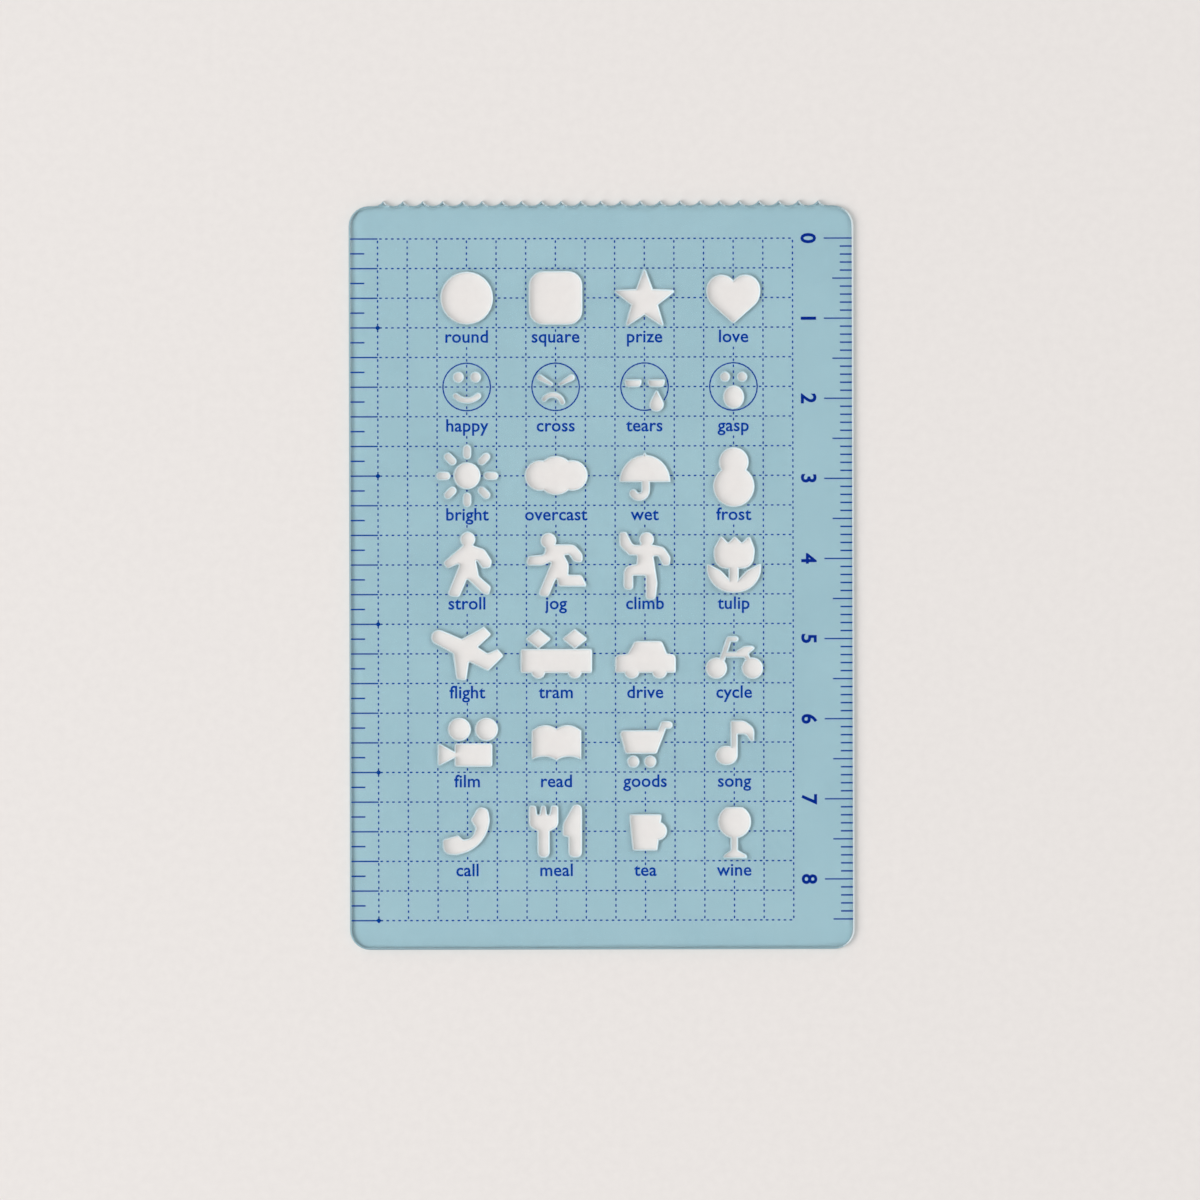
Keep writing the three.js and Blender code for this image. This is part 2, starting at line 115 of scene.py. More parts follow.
def mottle_group() -> bpy.types.ShaderNodeTree:
    """Makes soft blotches: a value that drifts between Low and High over patches of 1 / Scale metres.

    Returns:
        The group, which puts out Value.
    """
    group = new_group("mottle", {"Scale": 400.0, "Low": 0.0, "High": 1.0}, "Value")
    nodes = Nodes(group)
    given = nodes.add("NodeGroupInput").outputs
    noise = nodes.add("ShaderNodeTexNoise", {
        "Vector": given["Vector"], "Scale": given["Scale"], "Detail": 3.0, "Roughness": 0.55,
    })
    spread = nodes.add("ShaderNodeMapRange", {
        "Value": noise.outputs["Fac"], "From Min": 0.3, "From Max": 0.7,
        "To Min": given["Low"], "To Max": given["High"],
    })
    nodes.add("NodeGroupOutput", {"Value": spread.outputs["Result"]})
    return group


def grain_group(times_finer: float = 4.7) -> bpy.types.ShaderNodeTree:
    """Makes the tooth of a surface: waves of 1 / Scale metres, with finer ones on them weighted by Fine.

    Args:
        times_finer: how many of the finer waves lie on one of the others.

    Returns:
        The group, which puts out Height.
    """
    group = new_group("grain", {"Scale": 2000.0, "Fine": 0.4}, "Height")
    nodes = Nodes(group)
    given = nodes.add("NodeGroupInput").outputs
    coarse = nodes.add("ShaderNodeTexNoise", {
        "Vector": given["Vector"], "Scale": given["Scale"], "Detail": 2.0,
    })
    finer = nodes.add("ShaderNodeMath", {0: given["Scale"], 1: times_finer}, operation="MULTIPLY")
    fine = nodes.add("ShaderNodeTexNoise", {
        "Vector": given["Vector"], "Scale": finer.outputs[0], "Detail": 1.0,
    })
    both = nodes.add("ShaderNodeMath", {
        0: fine.outputs["Fac"], 1: given["Fine"], 2: coarse.outputs["Fac"],
    }, operation="MULTIPLY_ADD")
    nodes.add("NodeGroupOutput", {"Height": both.outputs[0]})
    return group


MOTTLE = mottle_group()
GRAIN = grain_group()


@dataclass(frozen=True)
class Drift:
    """A value that drifts over a surface.

    Attributes:
        patch: size of its patches.
        low: the lowest value.
        high: the highest value.
    """

    patch: float
    low: float = 0.0
    high: float = 1.0


@dataclass(frozen=True)
class Tooth:
    """A fine relief on a surface.

    Attributes:
        wave: size of its waves.
        fine: weight of the finer waves on them.
        depth: height of the waves.
        strength: share of the relief that shows.
    """

    wave: float
    fine: float
    depth: float
    strength: float


class Surface:
    """A procedural material that is being put together on a piece's own coordinates."""

    def __init__(self, name: str) -> None:
        """Makes an empty material.

        Args:
            name: the material's name.
        """
        self.material = bpy.data.materials.new(name)
        self.material.use_nodes = True
        self.nodes = Nodes(self.material.node_tree)
        self.place = self.nodes.add("ShaderNodeTexCoord").outputs["Object"]

    def mottle(self, drift: Drift) -> Socket:
        """Gives a value that drifts over the surface."""
        inputs = {"Vector": self.place, "Scale": 1 / drift.patch, "Low": drift.low, "High": drift.high}
        return self.nodes.add("ShaderNodeGroup", inputs, node_tree=MOTTLE).outputs["Value"]

    def height(self) -> Socket:
        """Gives the height above the floor."""
        return self.nodes.add("ShaderNodeSeparateXYZ", {"Vector": self.place}).outputs["Z"]

    def attribute(self, name: str) -> Socket:
        """Gives the value of one of the piece's own attributes."""
        return self.nodes.add("ShaderNodeAttribute", attribute_name=name).outputs["Fac"]

    def share(self, value: Socket, none: float, all_of_it: float) -> Socket:
        """Gives a share that goes from 0 at one value to 1 at another."""
        inputs = {"Value": value, "From Min": none, "From Max": all_of_it}
        return self.nodes.add("ShaderNodeMapRange", inputs).outputs["Result"]

    def normal(self, tooth: Tooth) -> Socket:
        """Gives the normal of a surface with a fine relief.

        Args:
            tooth: the relief.

        Returns:
            The normal's socket.
        """
        inputs = {"Vector": self.place, "Scale": 1 / tooth.wave, "Fine": tooth.fine}
        height = self.nodes.add("ShaderNodeGroup", inputs, node_tree=GRAIN).outputs["Height"]
        bump = self.nodes.add("ShaderNodeBump", {
            "Height": height, "Distance": tooth.depth, "Strength": tooth.strength,
        })
        return bump.outputs["Normal"]

    def between(self, share: Socket, first: Colour, second: Colour) -> Socket:
        """Gives a colour between two, by a share from 0 to 1."""
        mix = self.nodes.add("ShaderNodeMix", {0: share, 6: first, 7: second}, data_type="RGBA")
        return mix.outputs[2]

    def finish(self, inputs: dict, volume: bpy.types.Node | None = None) -> bpy.types.Material:
        """Adds the shader and the output.

        Args:
            inputs: the shader's values and sockets.
            volume: what fills the piece, if it is clear.

        Returns:
            The finished material.
        """
        shader = self.nodes.add("ShaderNodeBsdfPrincipled", inputs)
        ends = {"Surface": shader.outputs["BSDF"]}
        if volume:
            ends["Volume"] = volume.outputs["Volume"]
        self.nodes.add("ShaderNodeOutputMaterial", ends)
        return self.material


@dataclass(frozen=True)
class PlasticFinish:
    """Clear plastic with a blue tint in its depth and a satin skin.

    Attributes:
        tint: colour of the tint.
        density: strength of the tint, for each metre of depth.
        clear: colour of the skin where it is clearest.
        cloudy: colour of the skin where it is least clear.
        clouds: how the skin's colour drifts.
        satin: how the skin's roughness drifts.
        tooth: the skin's relief.
        refraction: index of refraction.
    """

    tint: Colour = (0.13, 0.677, 0.837, 1.0)
    density: float = 500.0
    clear: Colour = (0.97, 0.985, 0.99, 1.0)
    cloudy: Colour = (0.93, 0.955, 0.965, 1.0)
    clouds: Drift = Drift(9 * MM)
    satin: Drift = Drift(1.3 * MM, 0.13, 0.21)
    tooth: Tooth = Tooth(wave=0.45 * MM, fine=0.3, depth=0.01 * MM, strength=0.25)
    refraction: float = 1.49

    @functools.cache
    def make(self) -> bpy.types.Material:
        """Makes the material, once.

        Returns:
            The material.
        """
        surface = Surface("tinted_plastic")
        share = surface.mottle(self.clouds)
        tint = surface.nodes.add("ShaderNodeVolumeAbsorption", {
            "Color": self.tint, "Density": self.density,
        })
        return surface.finish({
            "Base Color": surface.between(share, self.clear, self.cloudy),
            "Roughness": surface.mottle(self.satin),
            "Normal": surface.normal(self.tooth),
            "IOR": self.refraction,
            "Transmission Weight": 1.0,
        }, tint)


@dataclass(frozen=True)
class Frost:
    """The skin of the plastic where it was cut.

    Attributes:
        satin: how its roughness drifts.
        tooth: its relief.
    """

    satin: Drift = Drift(0.5 * MM, 0.35, 0.5)
    tooth: Tooth = Tooth(wave=0.1 * MM, fine=0.4, depth=0.005 * MM, strength=0.3)


@dataclass(frozen=True)
class RimFinish:
    """The same plastic where it was cut: frosted, and whiter the thinner it gets.

    Attributes:
        name: the material's name.
        white: colour where the rim is thin.
        blue: colour at the upper face.
        upper: height of the upper face.
        fade: depth over which the colour changes.
        frost: its skin.
    """

    name: str
    white: Colour = (0.84, 0.925, 0.955, 1.0)
    blue: Colour = (0.46, 0.67, 0.74, 1.0)
    upper: float = 0.8 * MM
    fade: float = 0.4 * MM
    frost: Frost = Frost()

    @functools.cache
    def make(self) -> bpy.types.Material:
        """Makes the material, once.

        Returns:
            The material.
        """
        surface = Surface(self.name)
        share = surface.share(surface.height(), self.upper, self.upper - self.fade)
        return surface.finish({
            "Base Color": surface.between(share, self.blue, self.white),
            "Roughness": surface.mottle(self.frost.satin),
            "Normal": surface.normal(self.frost.tooth),
        })


@dataclass(frozen=True)
class LipFinish:
    """The frosted lip round the outside, with painted light: a deep blue that also paints the shade line
    along its edge, and a painted highlight, white, where it looks to the right.

    Attributes:
        attribute: the attribute that says how far a face looks to the right, from -1 to 1.
        starts: its value where the lip starts to turn white.
        ends: its value from which the lip is all white.
        deep: colour where it doesn't look to the right: the plastic's blue, darkened as painted shade.
        white: colour of the painted highlight where it does.
        frost: its skin.
    """

    attribute: str = "right_facing"
    starts: float = 0.15
    ends: float = 0.6
    deep: Colour = (0.25, 0.39, 0.44, 1.0)
    white: Colour = (0.84, 0.925, 0.955, 1.0)
    frost: Frost = Frost()

    @functools.cache
    def make(self) -> bpy.types.Material:
        """Makes the material, once.

        Returns:
            The material.
        """
        surface = Surface("frosted_lip_painted_light")
        # The share puts the painted highlight on the lip's right-facing slopes; the rest keeps the
        # painted shade.
        share = surface.share(surface.attribute(self.attribute), self.starts, self.ends)
        return surface.finish({
            "Base Color": surface.between(share, self.deep, self.white),
            "Roughness": surface.mottle(self.frost.satin),
            "Normal": surface.normal(self.frost.tooth),
        })


class Skin(Enum):
    """The sheet's finishes, in the order of its material slots."""

    CLEAR = PlasticFinish()
    CUT_OUT = RimFinish("frosted_rim")
    # The outer lip's finish paints shade along its edge and a highlight on its right-facing side.
    LIP = LipFinish()
    WALL = RimFinish("frosted_wall", white=(0.50, 0.70, 0.76, 1.0), blue=(0.42, 0.63, 0.70, 1.0))


@dataclass(frozen=True)
class InkFinish:
    """Screen ink: dense where it lies thick, paler in small patches where it lies thin.

    Attributes:
        name: the material's name.
        dense: colour where it lies thick.
        thin: colour where it lies thin.
        gloss: strength of its reflections.
        patches: how its colour drifts.
        satin: how its roughness drifts.
        tooth: its relief.
    """

    name: str
    dense: Colour
    thin: Colour
    gloss: float = 0.02
    patches: Drift = Drift(0.22 * MM)
    satin: Drift = Drift(0.5 * MM, 0.42, 0.62)
    tooth: Tooth = Tooth(wave=0.08 * MM, fine=0.5, depth=0.004 * MM, strength=0.3)

    @functools.cache
    def make(self) -> bpy.types.Material:
        """Makes the material, once.

        Returns:
            The material.
        """
        surface = Surface(self.name)
        share = surface.mottle(self.patches)
        return surface.finish({
            "Base Color": surface.between(share, self.dense, self.thin),
            "Roughness": surface.mottle(self.satin),
            "Normal": surface.normal(self.tooth),
            "Specular IOR Level": self.gloss,
        })


class Ink(Enum):
    """The inks of the print."""

    LINE = InkFinish("line_ink", (0.001, 0.036, 0.270, 1.0), (0.001, 0.050, 0.330, 1.0))
    LETTER = InkFinish("letter_ink", (0.001, 0.036, 0.300, 1.0), (0.001, 0.052, 0.360, 1.0))
    NUMERAL = InkFinish("numeral_ink", (0.001, 0.016, 0.220, 1.0), (0.001, 0.024, 0.270, 1.0))


@dataclass(frozen=True)
class PaperFinish:
    """Pale warm paper with a faint tooth.

    Attributes:
        pale: colour of most of it.
        grey: colour of its darker patches.
        patches: how its colour drifts.
        dull: how its roughness drifts.
        tooth: its relief.
    """

    pale: Colour = (0.79, 0.752, 0.728, 1.0)
    grey: Colour = (0.765, 0.727, 0.705, 1.0)
    patches: Drift = Drift(1.1 * MM)
    dull: Drift = Drift(0.8 * MM, 0.85, 0.95)
    tooth: Tooth = Tooth(wave=0.3 * MM, fine=0.5, depth=0.01 * MM, strength=0.2)

    @functools.cache
    def make(self) -> bpy.types.Material:
        """Makes the material, once.

        Returns:
            The material.
        """
        surface = Surface("pale_paper")
        share = surface.mottle(self.patches)
        return surface.finish({
            "Base Color": surface.between(share, self.pale, self.grey),
            "Roughness": surface.mottle(self.dull),
            "Normal": surface.normal(self.tooth),
        })


@dataclass(frozen=True)
class Layout:
    """Places on the upper face, in metres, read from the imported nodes.

    Attributes:
        face: height of the upper face.
        left: where the row marks start.
        right: where the centimetre scale starts.
        column: the first upright line of the grid.
        row: the first level line of the grid.
        pitch: distance between the grid's lines.
        rows: number of cells down the grid.
        figures: distances across of the figures' middles.
        faces_row: distance up of the middles of the row of faces.
        centimetres: number of whole centimetres on the scale.
    """

    face: float
    left: float
    right: float
    column: float
    row: float
    pitch: float
    rows: int
    figures: tuple[float, ...]
    faces_row: float
    centimetres: int

    @classmethod
    def read(cls) -> "Layout":
        """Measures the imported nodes.

        Returns:
            The places that were found.
        """
        names = list(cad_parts)
        first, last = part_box("row_mark_0")
        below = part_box("row_mark_1")
        rings = [sum(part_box(name), Vector()) / 2 for name in names if name.startswith("face_ring")]
        return cls(
            face=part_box(SHEET_NODE)[1].z,
            left=first.x,
            right=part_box("centimetre_mark_0")[1].x,
            column=last.x,
            row=(first.y + last.y) / 2,
            pitch=last.y - below[1].y,
            rows=sum(name.startswith("row_mark") for name in names) - 1,
            figures=tuple(sorted(ring.x for ring in rings)),
            faces_row=rings[0].y,
            centimetres=sum(name.startswith("centimetre_mark") for name in names) - 1,
        )

    def in_grid(self, point: Vector) -> bool:
        """Says whether a point lies over the printed grid, which holds all the cut-outs."""
        below = self.row - self.rows * self.pitch
        return self.column < point.x < -self.column and below < point.y < self.row


class UpperFace:
    """The sheet's upper face, which knows where it is cut away.

    Attributes:
        lift: height above the face from which it is looked at.
        slack: depth below the face that still counts as flat.
    """

    lift: ClassVar[float] = 1.0 * MM
    slack: ClassVar[float] = 0.001 * MM

    def __init__(self, layout: Layout) -> None:
        """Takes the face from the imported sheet.

        Args:
            layout: places on the upper face.
        """
        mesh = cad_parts[SHEET_NODE].data
        corners = [vert.co for vert in mesh.vertices]
        self.tree = BVHTree.FromPolygons(corners, [list(face.vertices) for face in mesh.polygons])
        self.height = layout.face

    def holds(self, point: Vector) -> bool:
        """Says whether there is flat plastic under a point.

        Args:
            point: the point, of which only the place across and up counts.

        Returns:
            True where the face isn't cut away.
        """
        above = Vector((point.x, point.y, self.height + self.lift))
        hit = self.tree.ray_cast(above, Vector((0, 0, -1)))[0]
        return hit is not None and self.height - hit.z < self.slack

    def longest_run(self, start: Vector, end: Vector, steps: int = 8) -> tuple[Vector, Vector] | None:
        """Finds the longest part of a stroke that lies on flat plastic.

        Args:
            start: one end of the stroke.
            end: its other end.
            steps: number of equal parts that are tested.

        Returns:
            The ends of that part, or None where there is no such part.
        """
        best: tuple[int, int] = (0, 0)
        first = None
        for k in range(steps + 2):
            if k <= steps and self.holds(start.lerp(end, k / steps)):
                first = k if first is None else first
                continue
            if first is not None and k - 1 - first > best[1] - best[0]:
                best = (first, k - 1)
            first = None
        if best[0] == best[1]:
            return None
        return start.lerp(end, best[0] / steps), start.lerp(end, best[1] / steps)


def lighten_shadow(printed: bpy.types.Object) -> None:
    """Lets light that comes up through the sheet pass the ink, so that it darkens no paper beside it."""
    printed.visible_transmission = False


class Ends(Enum):
    """How a stroke ends."""

    SQUARE = "square"
    ROUND = "round"


class Stamp:
    """A layer of ink that is being laid on the upper face.

    Attributes:
        thickness: the ink's thickness.
        round_sides: sides of the polygon whose halves are a round stroke's ends.
    """

    thickness: ClassVar[float] = 0.03 * MM
    round_sides: ClassVar[int] = 8

    def __init__(self, layout: Layout) -> None:
        """Starts with no ink."""
        self.bm = bmesh.new()
        self.layout = layout

    def stroke(self, start: Vector, end: Vector, width: float, ends: Ends) -> None:
        """Lays a straight stroke.

        Args:
            start: one end.
            end: the other end.
            width: the stroke's width.
            ends: how it ends.
        """
        run = end - start
        if ends is Ends.ROUND:
            turn = Matrix.Rotation(math.pi / self.round_sides, 4, "Z")
            made = bmesh.ops.create_circle(
                self.bm, cap_ends=True, segments=self.round_sides, radius=width / 2, matrix=turn,
            )
        else:
            made = bmesh.ops.create_grid(self.bm, x_segments=1, y_segments=1, size=width / 2)
        for vert in made["verts"]:
            vert.co.x += math.copysign((run.length - width) / 2, vert.co.x)
        middle = (start + end) / 2
        place = Matrix.Translation((middle.x, middle.y, self.layout.face))
        place @= Matrix.Rotation(math.atan2(run.y, run.x), 4, "Z")
        bmesh.ops.transform(self.bm, matrix=place, verts=made["verts"])
        lower = made["verts"][0].link_faces[0]
        raised = bmesh.ops.extrude_face_region(self.bm, geom=[lower])["geom"]
        upper = [item for item in raised if isinstance(item, bmesh.types.BMVert)]
        bmesh.ops.translate(self.bm, vec=(0, 0, self.thickness), verts=upper)

    def take(self, mesh: bpy.types.Mesh) -> None:
        """Adds a mesh that is already in place, and removes it from the file."""
        self.bm.from_mesh(mesh)
        bpy.data.meshes.remove(mesh)

    def join(self, other: "Stamp") -> None:
        """Adds another layer to this one.

        Args:
            other: the layer that is added, and used up.
        """
        mesh = bpy.data.meshes.new("layer")
        other.bm.to_mesh(mesh)
        other.bm.free()
        self.take(mesh)

    def piece(self, name: str, ink: Ink) -> None:
        """Makes the layer a piece of the object.

        Args:
            name: the piece's name.
            ink: the ink it is printed in.
        """
        bmesh.ops.recalc_face_normals(self.bm, faces=self.bm.faces[:])
        mesh = bpy.data.meshes.new(name)
        self.bm.to_mesh(mesh)
        self.bm.free()
        mesh.materials.append(ink.value.make())
        printed = bpy.data.objects.new(name, mesh)
        bpy.context.scene.collection.objects.link(printed)
        lighten_shadow(printed)
        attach(printed, BODY)
        log.info("%s: %d faces", name, len(mesh.polygons))


@dataclass(frozen=True)
class Lettering:
    """Plain upright letters without feet.

    Attributes:
        size: the letters' size, from line to line.
        swell: how far the strokes are thickened on each side.
        spacing: the distance between letters, as a share of the usual one.
    """

    size: float
    swell: float
    spacing: float = 1.0

    def shape(self, word: str) -> bpy.types.Mesh:
        """Makes a word as a thin closed mesh.

        Args:
            word: what is written.

        Returns:
            The mesh, with its baseline on X, its middle on Y and its underside at zero.
        """
        text = bpy.data.curves.new(word, "FONT")
        text.body = word
        text.align_x = "CENTER"
        text.size = self.size
        text.space_character = self.spacing
        text.extrude = self.swell
        text.bevel_depth = self.swell
        text.bevel_resolution = 1
        text.resolution_u = 3
        depth = 2 * (text.extrude + text.bevel_depth)
        written = bpy.data.objects.new(word, text)
        bpy.context.scene.collection.objects.link(written)
        shaped = written.evaluated_get(bpy.context.evaluated_depsgraph_get())
        mesh = bpy.data.meshes.new_from_object(shaped)
        bpy.data.objects.remove(written)
        bpy.data.curves.remove(text)
        mesh.transform(Matrix.Diagonal((1, 1, Stamp.thickness / depth, 1)))
        mesh.transform(Matrix.Translation((0, 0, Stamp.thickness / 2)))
        bm = bmesh.new()
        bm.from_mesh(mesh)
        bmesh.ops.remove_doubles(bm, verts=bm.verts[:], dist=WELD)
        bm.to_mesh(mesh)
        bm.free()
        return mesh


@dataclass
class Captions:
    """The plain word under each figure.

    Attributes:
        layout: places on the upper face.
        letters: the letters they are written in.
        drop: from a figure's middle down to its word's baseline.
        row_step: cells of the grid from one row of figures to the next.
        clearance: room round a word that the grid leaves free.
        words: the words of each row of figures, from the top.
        faces_row: number of the row of faces.
    """

    layout: Layout
    letters: Lettering = Lettering(size=2.22 * MM, swell=0.034 * MM, spacing=1.02)
    drop: float = 5.55 * MM
    row_step: int = 3
    clearance: float = 0.12 * MM
    words: ClassVar[tuple[tuple[str, ...], ...]] = (
        ("round", "square", "prize", "love"),
        ("happy", "cross", "tears", "gasp"),
        ("bright", "overcast", "wet", "frost"),
        ("stroll", "jog", "climb", "tulip"),
        ("flight", "tram", "drive", "cycle"),
        ("film", "read", "goods", "song"),
        ("call", "meal", "tea", "wine"),
    )
    faces_row: ClassVar[int] = 1

    def build(self) -> list[Room]:
        """Makes the words.

        Returns:
            The lowest and highest corner of each word's room.
        """
        stamp = Stamp(self.layout)
        rooms = []
        for row, words in enumerate(self.words):
            below = (row - self.faces_row) * self.row_step * self.layout.pitch + self.drop
            for x, word in zip(self.layout.figures, words):
                mesh = self.letters.shape(word)
                mesh.transform(Matrix.Translation((x, self.layout.faces_row - below, self.layout.face)))
                rooms.append(self.room(mesh))
                stamp.take(mesh)
        stamp.piece("captions", Ink.LETTER)
        return rooms

    def room(self, mesh: bpy.types.Mesh) -> Room:
        """Measures a word that is in place.

        Args:
            mesh: the word.

        Returns:
            Its lowest and highest corner, with the clearance round it.
        """
        across = [vert.co.x for vert in mesh.vertices]
        up = [vert.co.y for vert in mesh.vertices]
        margin = Vector((self.clearance, self.clearance))
        return Vector((min(across), min(up))) - margin, Vector((max(across), max(up))) + margin


@dataclass
class DashedGrid:
    """The dashed lines between the marks, which stop at the cut-outs and the words.

    Attributes:
        layout: places on the upper face.
        columns: cells across the grid.
        dashes: dashes along one side of a cell.
        length: a dash's length.
        width: a dash's width.
    """

    layout: Layout
    columns: int = 14
    dashes: int = 5
    length: float = 0.37 * MM
    width: float = 0.19 * MM

    def build(self, face: UpperFace, rooms: list[Room]) -> None:
        """Makes the grid.

        Args:
            face: the sheet's upper face.
            rooms: corners of the places that stay free.
        """
        corner = Vector((self.layout.column, self.layout.row))
        across = Vector((self.layout.pitch, 0))
        down = Vector((0, -self.layout.pitch))
        whole = Stamp(self.layout)
        for row in range(self.layout.rows + 1):
            whole.join(self.line(corner + row * down, across, self.columns, face, rooms))
        for column in range(self.columns + 1):
            whole.join(self.line(corner + column * across, down, self.layout.rows, face, rooms))
        whole.piece("grid_dashes", Ink.LINE)

    def line(self, start: Vector, cell: Vector, cells: int, face: UpperFace, rooms: list[Room]) -> Stamp:
        """Makes one dashed line.

        Args:
            start: where the line starts.
            cell: from one crossing to the next.
            cells: number of cells along the line.
            face: the sheet's upper face.
            rooms: corners of the places that stay free.

        Returns:
            The line's layer of ink.
        """
        stamp = Stamp(self.layout)
        half = cell.normalized() * self.length / 2
        for k in range(cells * self.dashes):
            middle = start + cell * ((k + 0.5) / self.dashes)
            if any(low.x < middle.x < high.x and low.y < middle.y < high.y for low, high in rooms):
                continue
            run = face.longest_run(middle - half, middle + half)
            if run and (run[1] - run[0]).length > self.width:
                stamp.stroke(*run, self.width, Ends.ROUND)
        return stamp


@dataclass
class FineMarks:
    """The short marks of the two scales, between the long ones.

    Attributes:
        layout: places on the upper face.
        width: a mark's width.
        millimetre: length of a millimetre mark.
        half_row: length of a mark half way between two row marks.
        in_centimetre: millimetres in a centimetre.
        between_long: millimetres from one long mark to the next.
        beyond: millimetres that the scale runs past its last whole centimetre.
    """

    layout: Layout
    width: float = 0.185 * MM
    millimetre: float = 1.5 * MM
    half_row: float = 1.75 * MM
    in_centimetre: int = 10
    between_long: int = 5
    beyond: int = 5

    def build(self) -> None:
        """Makes the marks of both scales."""
        stamp = Stamp(self.layout)
        for k in range(self.in_centimetre * self.layout.centimetres + self.beyond):
            if k % self.between_long:
                outer = Vector((self.layout.right, self.layout.row - k * MM))
                stamp.stroke(outer - Vector((self.millimetre, 0)), outer, self.width, Ends.SQUARE)
        stamp.piece("millimetre_marks", Ink.LINE)
        stamp = Stamp(self.layout)
        for k in range(self.layout.rows):
            outer = Vector((self.layout.left, self.layout.row - (k + 0.5) * self.layout.pitch))
            stamp.stroke(outer, outer + Vector((self.half_row, 0)), self.width, Ends.SQUARE)
        stamp.piece("half_row_marks", Ink.LINE)


@dataclass
class Numerals:
    """The numbers of the centimetre scale, turned to be read from the right.

    Attributes:
        layout: places on the upper face.
        letters: the letters they are written in.
        inset: from the outer ends of the scale's marks to the numbers' middles.
        height: height of a number.
        turn: how far a number is turned.
    """

    layout: Layout
    letters: Lettering = Lettering(size=2.61 * MM, swell=0.07 * MM)
    inset: float = 5.38 * MM
    height: float = 1.87 * MM
    turn: float = -math.pi / 2

    def build(self) -> None:
        """Makes the numbers."""
        stamp = Stamp(self.layout)
        x = self.layout.right - self.inset
        for number in range(self.layout.centimetres + 1):
            mesh = self.letters.shape(str(number))
            mesh.transform(Matrix.Translation((0, -self.height / 2, 0)))
            mesh.transform(Matrix.Rotation(self.turn, 4, "Z"))
            y = self.layout.row - number * CENTIMETRE
            mesh.transform(Matrix.Translation((x, y, self.layout.face)))
            stamp.take(mesh)
        stamp.piece("scale_numerals", Ink.NUMERAL)


@dataclass
class StencilSheet:
    """The cut sheet, with its rims shaded as soft rounds.

    Attributes:
        layout: places on the upper face.
        crease: angle past which an edge stays sharp.
        broad: least upright part of a broad face's normal.
        sloping: least upright part of the outer lip's normal.
    """

    layout: Layout
    crease: float = math.radians(50)
    broad: float = 0.99
    sloping: float = 0.05

    def build(self) -> None:
        """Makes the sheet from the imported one."""
        bm = bmesh.new()
        bm.from_mesh(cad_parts[SHEET_NODE].data)
        bmesh.ops.remove_doubles(bm, verts=bm.verts[:], dist=WELD)
        # right_facing records how far each face looks to the right, which places the lip's painted
        # highlight.
        right_facing = bm.faces.layers.float.new(Skin.LIP.value.attribute)
        for face in bm.faces:
            face.material_index = list(Skin).index(self.skin(face))
            face[right_facing] = face.normal.x
        mesh = bpy.data.meshes.new("cut_sheet")
        bm.to_mesh(mesh)
        bm.free()
        mesh.attributes.remove(mesh.attributes["custom_normal"])
        mesh.shade_smooth()
        mesh.set_sharp_from_angle(angle=self.crease)
        for skin in Skin:
            mesh.materials.append(skin.value.make())
        sheet = bpy.data.objects.new("cut_sheet", mesh)
        bpy.context.scene.collection.objects.link(sheet)
        even = sheet.modifiers.new("even_shading", "WEIGHTED_NORMAL")
        even.mode = "FACE_AREA"
        even.weight = 100
        even.keep_sharp = True
        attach(sheet, BODY)
        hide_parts(SHEET_NODE)
        log.info("cut_sheet: %d faces", len(mesh.polygons))

    def skin(self, face: bmesh.types.BMFace) -> Skin:
        """Chooses a face's finish: the two broad faces are clear, and what was cut is frosted, the outer
        lip with painted shade and a painted highlight.

        Args:
            face: a face of the sheet.

        Returns:
            The finish.
        """
        if abs(face.normal.z) > self.broad:
            return Skin.CLEAR
        if self.layout.in_grid(face.calc_center_median()):
            return Skin.CUT_OUT
        return Skin.LIP if face.normal.z > self.sloping else Skin.WALL


class PrintedMarks:
    """The rings and long marks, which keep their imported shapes."""

    def dress(self) -> None:
        """Gives every packed mark its ink."""
        for name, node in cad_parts.items():
            if name != SHEET_NODE:
                node.material_slots[0].material = Ink.LINE.value.make()
                lighten_shadow(node)
        log.info("packed marks: %d", len(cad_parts) - 1)


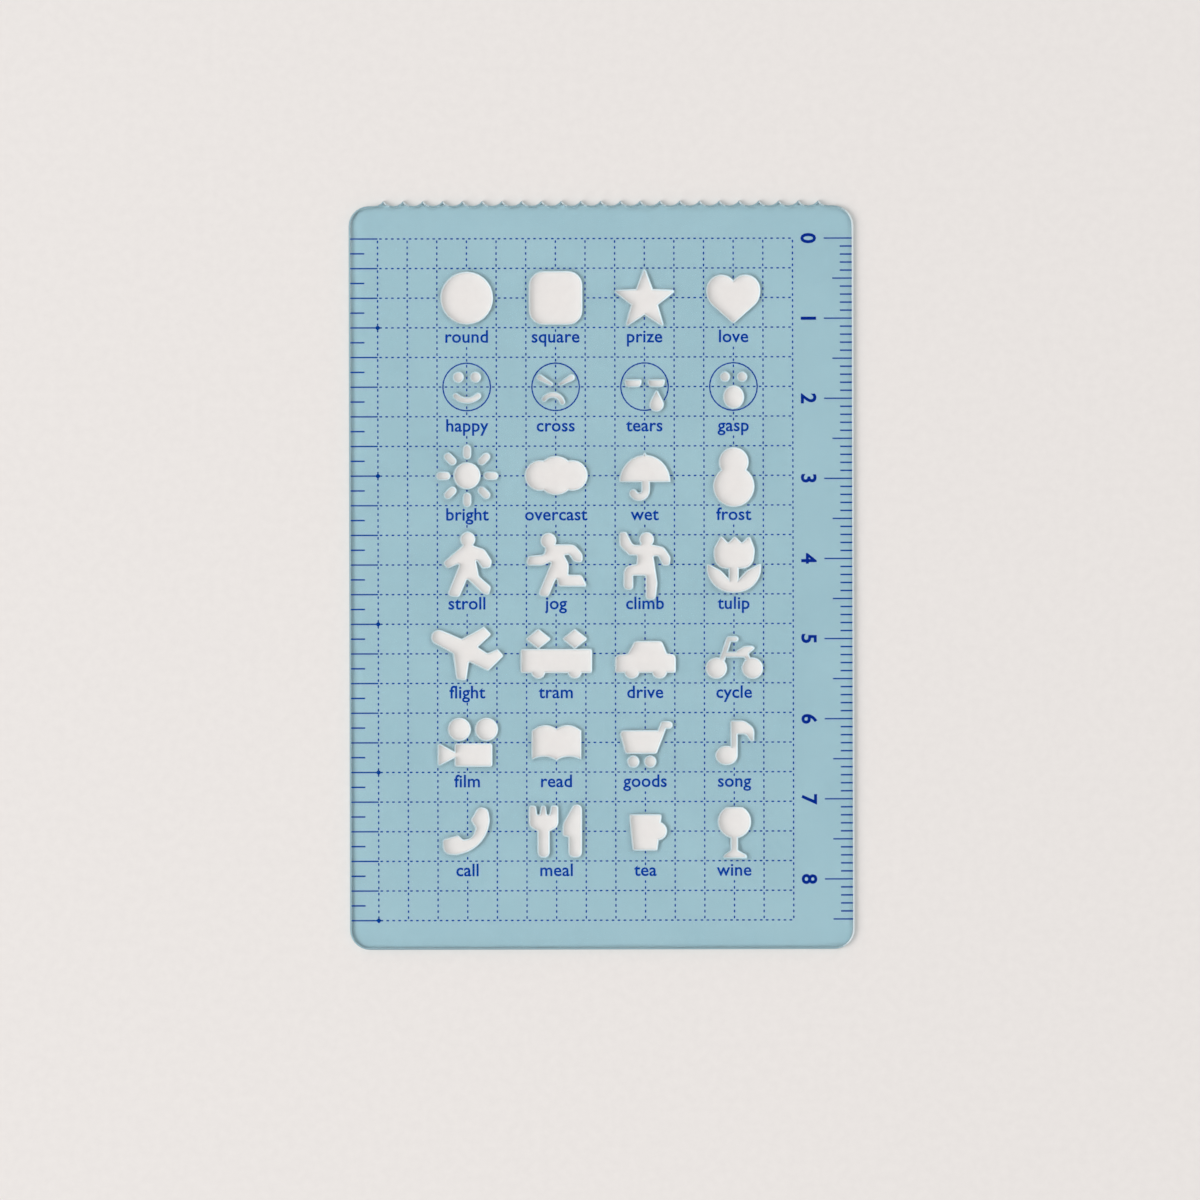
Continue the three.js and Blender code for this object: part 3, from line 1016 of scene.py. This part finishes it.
@dataclass
class Studio:
    """A pale floor, one broad soft lamp on the left, an even sky and the camera.

    Attributes:
        gap: air between the floor and the sheet.
        floor_reach: half the floor's width.
        sky: brightness of the even sky.
        lamp_share: brightness that the lamp adds to a white floor.
        lamp_distance: from the sheet to the lamp.
        lamp_size: the lamp's width.
        lamp_bearing: the lamp's bearing, counted from +X towards +Y.
        lamp_height: its angle above the floor.
        picture: width of the floor that the picture shows.
        pixels: width of the picture in pixels.
        sheet_pixel: the pixel that the sheet's middle is on.
        turn: how far the sheet is turned in the picture.
        lens: the lens, in millimetres.
    """

    gap: float = 0.05 * MM
    floor_reach: float = 2.0
    sky: float = 0.74
    lamp_share: float = 0.36
    lamp_distance: float = 2.3
    lamp_size: float = 1.8
    lamp_bearing: float = math.radians(190)
    lamp_height: float = math.radians(48)
    picture: float = 149.9 * MM
    pixels: int = 1200
    sheet_pixel: tuple[float, float] = (601.7, 575.0)
    turn: float = math.radians(0.12)
    lens: float = 300.0

    def build(self) -> None:
        """Makes the floor, the light and the camera."""
        self.lay_floor()
        self.hang_lamp()
        self.fill_sky()
        self.set_camera()
        bpy.context.scene.view_settings.view_transform = "Standard"
        # With this filter on, light that passes through the sheet to the floor and back is lost.
        bpy.context.scene.cycles.blur_glossy = 0.0

    def lay_floor(self) -> None:
        """Makes the floor."""
        bm = bmesh.new()
        bmesh.ops.create_grid(bm, x_segments=1, y_segments=1, size=self.floor_reach)
        bmesh.ops.translate(bm, vec=(0, 0, -self.gap), verts=bm.verts[:])
        mesh = bpy.data.meshes.new("floor")
        bm.to_mesh(mesh)
        bm.free()
        mesh.materials.append(PaperFinish().make())
        floor = bpy.data.objects.new("floor", mesh)
        bpy.context.scene.collection.objects.link(floor)

    def hang_lamp(self) -> None:
        """Makes the soft lamp, with the power that adds its share to a white floor."""
        light = bpy.data.lights.new("soft_lamp", "AREA")
        light.shape = "DISK"
        light.size = self.lamp_size
        light.energy = self.lamp_share * (math.pi * self.lamp_distance) ** 2 / math.sin(self.lamp_height)
        lamp = bpy.data.objects.new("soft_lamp", light)
        flat = math.cos(self.lamp_height)
        away = Vector((
            flat * math.cos(self.lamp_bearing),
            flat * math.sin(self.lamp_bearing),
            math.sin(self.lamp_height),
        ))
        lamp.location = away * self.lamp_distance
        lamp.rotation_euler = away.to_track_quat("Z", "Y").to_euler()
        bpy.context.scene.collection.objects.link(lamp)

    def fill_sky(self) -> None:
        """Makes the even sky."""
        world = bpy.data.worlds.new("even_sky")
        world.use_nodes = True
        nodes = Nodes(world.node_tree)
        sky = nodes.add("ShaderNodeBackground", {"Color": (1.0, 1.0, 1.0, 1.0), "Strength": self.sky})
        nodes.add("ShaderNodeOutputWorld", {"Surface": sky.outputs["Background"]})
        bpy.context.scene.world = world

    def set_camera(self) -> None:
        """Makes the camera, which looks straight down."""
        camera = bpy.data.cameras.new("camera")
        camera.lens = self.lens
        eye = bpy.data.objects.new("camera", camera)
        pixel = self.picture / self.pixels
        across = (self.pixels / 2 - self.sheet_pixel[0]) * pixel
        up = (self.sheet_pixel[1] - self.pixels / 2) * pixel
        eye.location = (across, up, self.lens / camera.sensor_width * self.picture)
        eye.rotation_euler = (0, 0, -self.turn)
        bpy.context.scene.collection.objects.link(eye)
        bpy.context.scene.camera = eye


def main() -> None:
    """Builds the pieces and the studio in order."""
    logging.basicConfig(level=logging.INFO, format="%(name)s: %(message)s")
    layout = Layout.read()
    StencilSheet(layout).build()
    PrintedMarks().dress()
    rooms = Captions(layout).build()
    DashedGrid(layout).build(UpperFace(layout), rooms)
    FineMarks(layout).build()
    Numerals(layout).build()
    Studio().build()


if __name__ == "__main__":
    main()
